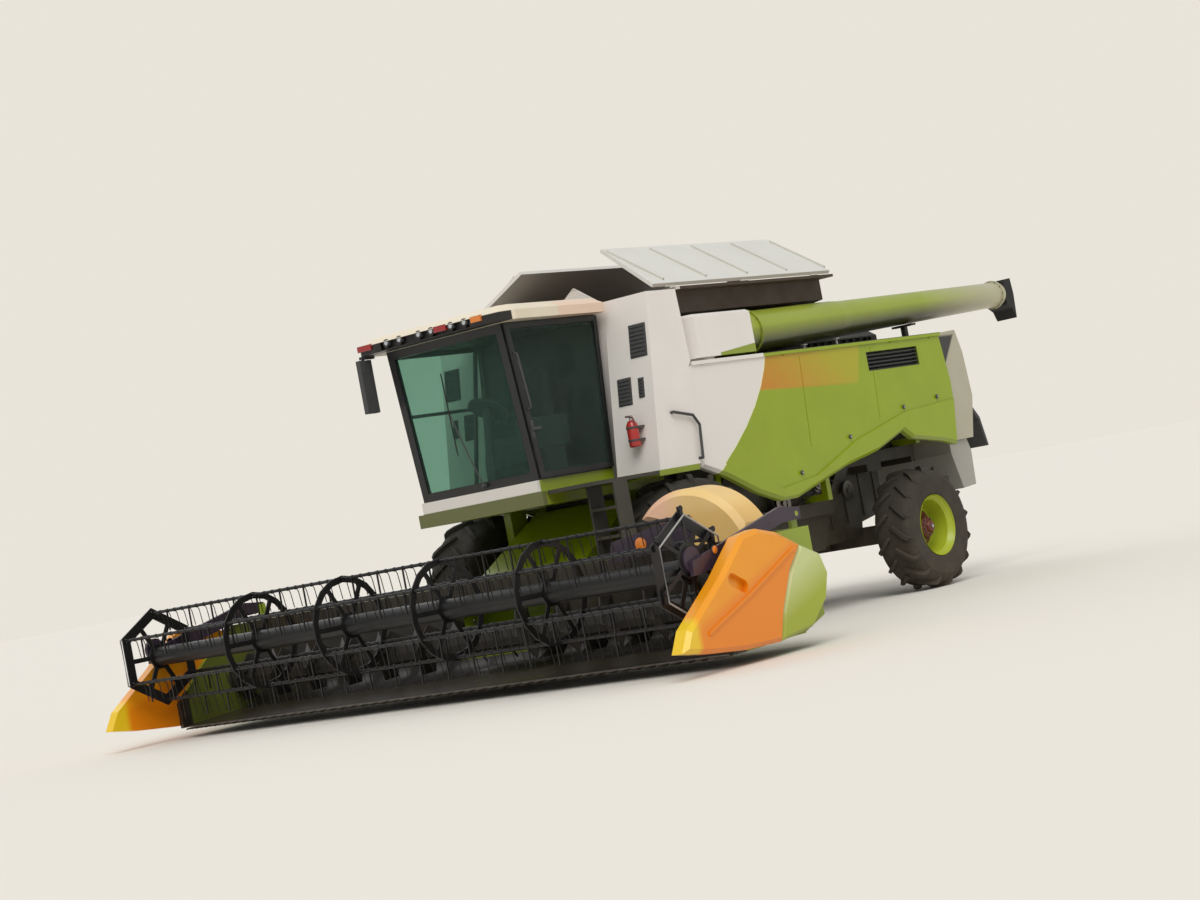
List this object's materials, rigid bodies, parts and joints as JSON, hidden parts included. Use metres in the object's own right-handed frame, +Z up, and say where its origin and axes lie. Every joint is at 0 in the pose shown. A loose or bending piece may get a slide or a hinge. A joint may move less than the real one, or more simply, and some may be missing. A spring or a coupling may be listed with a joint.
{
  "type": "combine harvester",
  "caption": "Self-propelled grain harvester with a lowered cutting table, feathering reel, cab, grain tank with half-open covers and a folded unloading tube.",
  "frame": {"origin": "on the ground under the middle of the whole machine's box", "axes": "+Z up, the machine drives towards -Y, +X is its left side"},
  "size_m": [8.04, 11.1, 4.3549],
  "materials": {
    "white": "gloss",
    "green": "gloss",
    "orange": "satin",
    "peach": "satin",
    "black_steel": "satin",
    "dark_steel": "satin",
    "grey": "satin",
    "tyre": "matte",
    "rim": "gloss",
    "rubber": "matte",
    "glass": "tinted",
    "cream": "satin",
    "black_plastic": "matte",
    "iron": "matte"
  },
  "bodies": {
    "machine": {"main_frame": "dark_steel", "front_axle": "dark_steel", "rear_axle": "dark_steel", "separator_body": "dark_steel", "tube_rest": "dark_steel", "straw_chute": "dark_steel", "front_body": "white", "cab_base": "green", "side_deck": "green", "engine_hood": "dark_steel", "engine": "iron", "rear_hood": "grey", "grain_tank": "grey", "straw_deflector": "black_plastic", "cab_interior": "black_plastic", "cab_mirror": "black_plastic", "body_handrail": "black_plastic", "walkway": "dark_steel", "cab_shell": "black_steel", "cab_glass": "glass", "cab_roof": "cream"},
    "front_wheel_left": {"front_tyre_left": "tyre", "front_rim_left": "rim"},
    "rear_wheel_left": {"rear_tyre_left": "tyre", "rear_rim_left": "rim"},
    "rear_knuckle_left": {"rear_knuckle_left": "dark_steel"},
    "side_panel_left": {"side_panel_left": "green"},
    "tank_cover_left": {"tank_cover_left": "grey"},
    "front_wheel_right": {"front_tyre_right": "tyre", "front_rim_right": "rim"},
    "rear_wheel_right": {"rear_tyre_right": "tyre", "rear_rim_right": "rim"},
    "rear_knuckle_right": {"rear_knuckle_right": "dark_steel"},
    "side_panel_right": {"side_panel_right": "green"},
    "tank_cover_right": {"tank_cover_right": "grey"},
    "tie_rod": {"tie_rod": "dark_steel"},
    "unloader": {"unloader_shroud": "white", "unloader_tube": "green", "unloader_spout": "rubber"},
    "cab_door": {"cab_door": "black_steel", "cab_door_glass": "glass"},
    "table": {"feeder_house": "green", "table_frame": "green", "end_shields": "green", "crop_divider_left": "orange", "crop_divider_right": "orange", "drive_cowl": "peach"},
    "table_auger": {"table_auger": "black_steel"},
    "knife": {"knife_bar": "dark_steel"},
    "reel_arms": {"reel_arms": "black_steel"},
    "reel": {"reel": "black_steel"},
    "reel_eccentric": {"reel_eccentric": "black_steel"},
    "tine_bar_1": {"tine_bar_1": "black_steel"},
    "tine_bar_2": {"tine_bar_2": "black_steel"},
    "tine_bar_3": {"tine_bar_3": "black_steel"},
    "tine_bar_4": {"tine_bar_4": "black_steel"},
    "tine_bar_5": {"tine_bar_5": "black_steel"},
    "tine_bar_6": {"tine_bar_6": "black_steel"},
    "lift_barrels": {"lift_barrels": "dark_steel"},
    "lift_rods": {"lift_rods": "dark_steel"}
  },
  "joints": [
    {"name": "front_spin_left", "type": "hinge", "parent": "machine", "child": "front_wheel_left", "pos_m": [1.36, -1.89, 0.9], "axis": [1, 0, 0], "continuous": true},
    {"name": "front_spin_right", "type": "hinge", "parent": "machine", "child": "front_wheel_right", "pos_m": [-1.36, -1.89, 0.9], "axis": [1, 0, 0], "continuous": true},
    {"name": "steer_left", "type": "hinge", "parent": "machine", "child": "rear_knuckle_left", "pos_m": [1, 2.45, 0.715], "axis": [0, 0, 1], "range_deg": [-35, 35]},
    {"name": "rear_spin_left", "type": "hinge", "parent": "rear_knuckle_left", "child": "rear_wheel_left", "pos_m": [1.4, 2.45, 0.715], "axis": [1, 0, 0], "continuous": true},
    {"name": "steer_right", "type": "hinge", "parent": "machine", "child": "rear_knuckle_right", "pos_m": [-1, 2.45, 0.715], "axis": [0, 0, 1], "range_deg": [-35, 35]},
    {"name": "rear_spin_right", "type": "hinge", "parent": "rear_knuckle_right", "child": "rear_wheel_right", "pos_m": [-1.4, 2.45, 0.715], "axis": [1, 0, 0], "continuous": true},
    {"name": "tie_rod_pivot", "type": "hinge", "parent": "rear_knuckle_left", "child": "tie_rod", "pos_m": [1, 2.73, 0.755], "axis": [0, 0, 1], "range_deg": [-35, 35]},
    {"name": "side_panel_left_hinge", "type": "hinge", "parent": "machine", "child": "side_panel_left", "pos_m": [1.484, 0.28, 2.912], "axis": [0, -1, 0], "range_deg": [0, 75]},
    {"name": "tank_cover_left_hinge", "type": "hinge", "parent": "machine", "child": "tank_cover_left", "pos_m": [1.4, -0.09, 3.788], "axis": [0, 1, 0], "range_deg": [-33, 50]},
    {"name": "side_panel_right_hinge", "type": "hinge", "parent": "machine", "child": "side_panel_right", "pos_m": [-1.484, 0.28, 2.912], "axis": [0, 1, 0], "range_deg": [0, 75]},
    {"name": "tank_cover_right_hinge", "type": "hinge", "parent": "machine", "child": "tank_cover_right", "pos_m": [-1.4, -0.09, 3.788], "axis": [0, -1, 0], "range_deg": [-33, 50]},
    {"name": "unloader_swing", "type": "hinge", "parent": "machine", "child": "unloader", "pos_m": [1.17, -1.01, 3.2], "axis": [0, 0, -1], "range_deg": [0, 100]},
    {"name": "cab_door_hinge", "type": "hinge", "parent": "machine", "child": "cab_door", "pos_m": [0.8228, -3.37, 2.01], "axis": [0, 0.0922, -0.9957], "range_deg": [0, 80]},
    {"name": "table_lift", "type": "hinge", "parent": "machine", "child": "table", "pos_m": [0, -1.74, 1.5], "axis": [-1, 0, 0], "range_deg": [0, 16]},
    {"name": "lift_barrel_pivot", "type": "hinge", "parent": "machine", "child": "lift_barrels", "pos_m": [0, -2.08, 0.64], "axis": [-1, 0, 0], "range_deg": [0, 24.19]},
    {"name": "lift_rod_slide", "type": "slide", "parent": "lift_barrels", "child": "lift_rods", "axis": [0, -0.9276, -0.3735], "range_m": [0, 0.22075]},
    {"name": "auger_spin", "type": "hinge", "parent": "table", "child": "table_auger", "pos_m": [0, -3.74, 0.52], "axis": [1, 0, 0], "continuous": true},
    {"name": "knife_slide", "type": "slide", "parent": "table", "child": "knife", "axis": [1, 0, 0], "range_m": [-0.038, 0.038]},
    {"name": "reel_lift", "type": "hinge", "parent": "table", "child": "reel_arms", "pos_m": [0, -3.28, 1.23], "axis": [-1, 0, 0], "range_deg": [0, 22]},
    {"name": "reel_spin", "type": "hinge", "parent": "reel_arms", "child": "reel", "pos_m": [0, -4.89, 0.93], "axis": [1, 0, 0], "continuous": true},
    {"name": "eccentric_spin", "type": "hinge", "parent": "reel_arms", "child": "reel_eccentric", "pos_m": [3.714, -4.89, 1.01], "axis": [1, 0, 0], "continuous": true},
    {"name": "tine_bar_1_turn", "type": "hinge", "parent": "reel", "child": "tine_bar_1", "pos_m": [0, -4.48297, 1.165], "axis": [1, 0, 0], "continuous": true},
    {"name": "tine_bar_2_turn", "type": "hinge", "parent": "reel", "child": "tine_bar_2", "pos_m": [0, -4.89, 1.4], "axis": [1, 0, 0], "continuous": true},
    {"name": "tine_bar_3_turn", "type": "hinge", "parent": "reel", "child": "tine_bar_3", "pos_m": [0, -5.29703, 1.165], "axis": [1, 0, 0], "continuous": true},
    {"name": "tine_bar_4_turn", "type": "hinge", "parent": "reel", "child": "tine_bar_4", "pos_m": [0, -5.29703, 0.695], "axis": [1, 0, 0], "continuous": true},
    {"name": "tine_bar_5_turn", "type": "hinge", "parent": "reel", "child": "tine_bar_5", "pos_m": [0, -4.89, 0.46], "axis": [1, 0, 0], "continuous": true},
    {"name": "tine_bar_6_turn", "type": "hinge", "parent": "reel", "child": "tine_bar_6", "pos_m": [0, -4.48297, 0.695], "axis": [1, 0, 0], "continuous": true}
  ],
  "couplings": [
    {"joint": "steer_right", "follows": "steer_left", "ratio": 1},
    {"joint": "tie_rod_pivot", "follows": "steer_left", "ratio": -1},
    {"joint": "lift_barrel_pivot", "follows": "table_lift", "ratio": 1.5114},
    {"joint": "lift_rod_slide", "follows": "table_lift", "m_per_rad": 0.7887},
    {"joint": "eccentric_spin", "follows": "reel_spin", "ratio": 1},
    {"joint": "tine_bar_1_turn", "follows": "reel_spin", "ratio": -1},
    {"joint": "tine_bar_2_turn", "follows": "reel_spin", "ratio": -1},
    {"joint": "tine_bar_3_turn", "follows": "reel_spin", "ratio": -1},
    {"joint": "tine_bar_4_turn", "follows": "reel_spin", "ratio": -1},
    {"joint": "tine_bar_5_turn", "follows": "reel_spin", "ratio": -1},
    {"joint": "tine_bar_6_turn", "follows": "reel_spin", "ratio": -1}
  ]
}
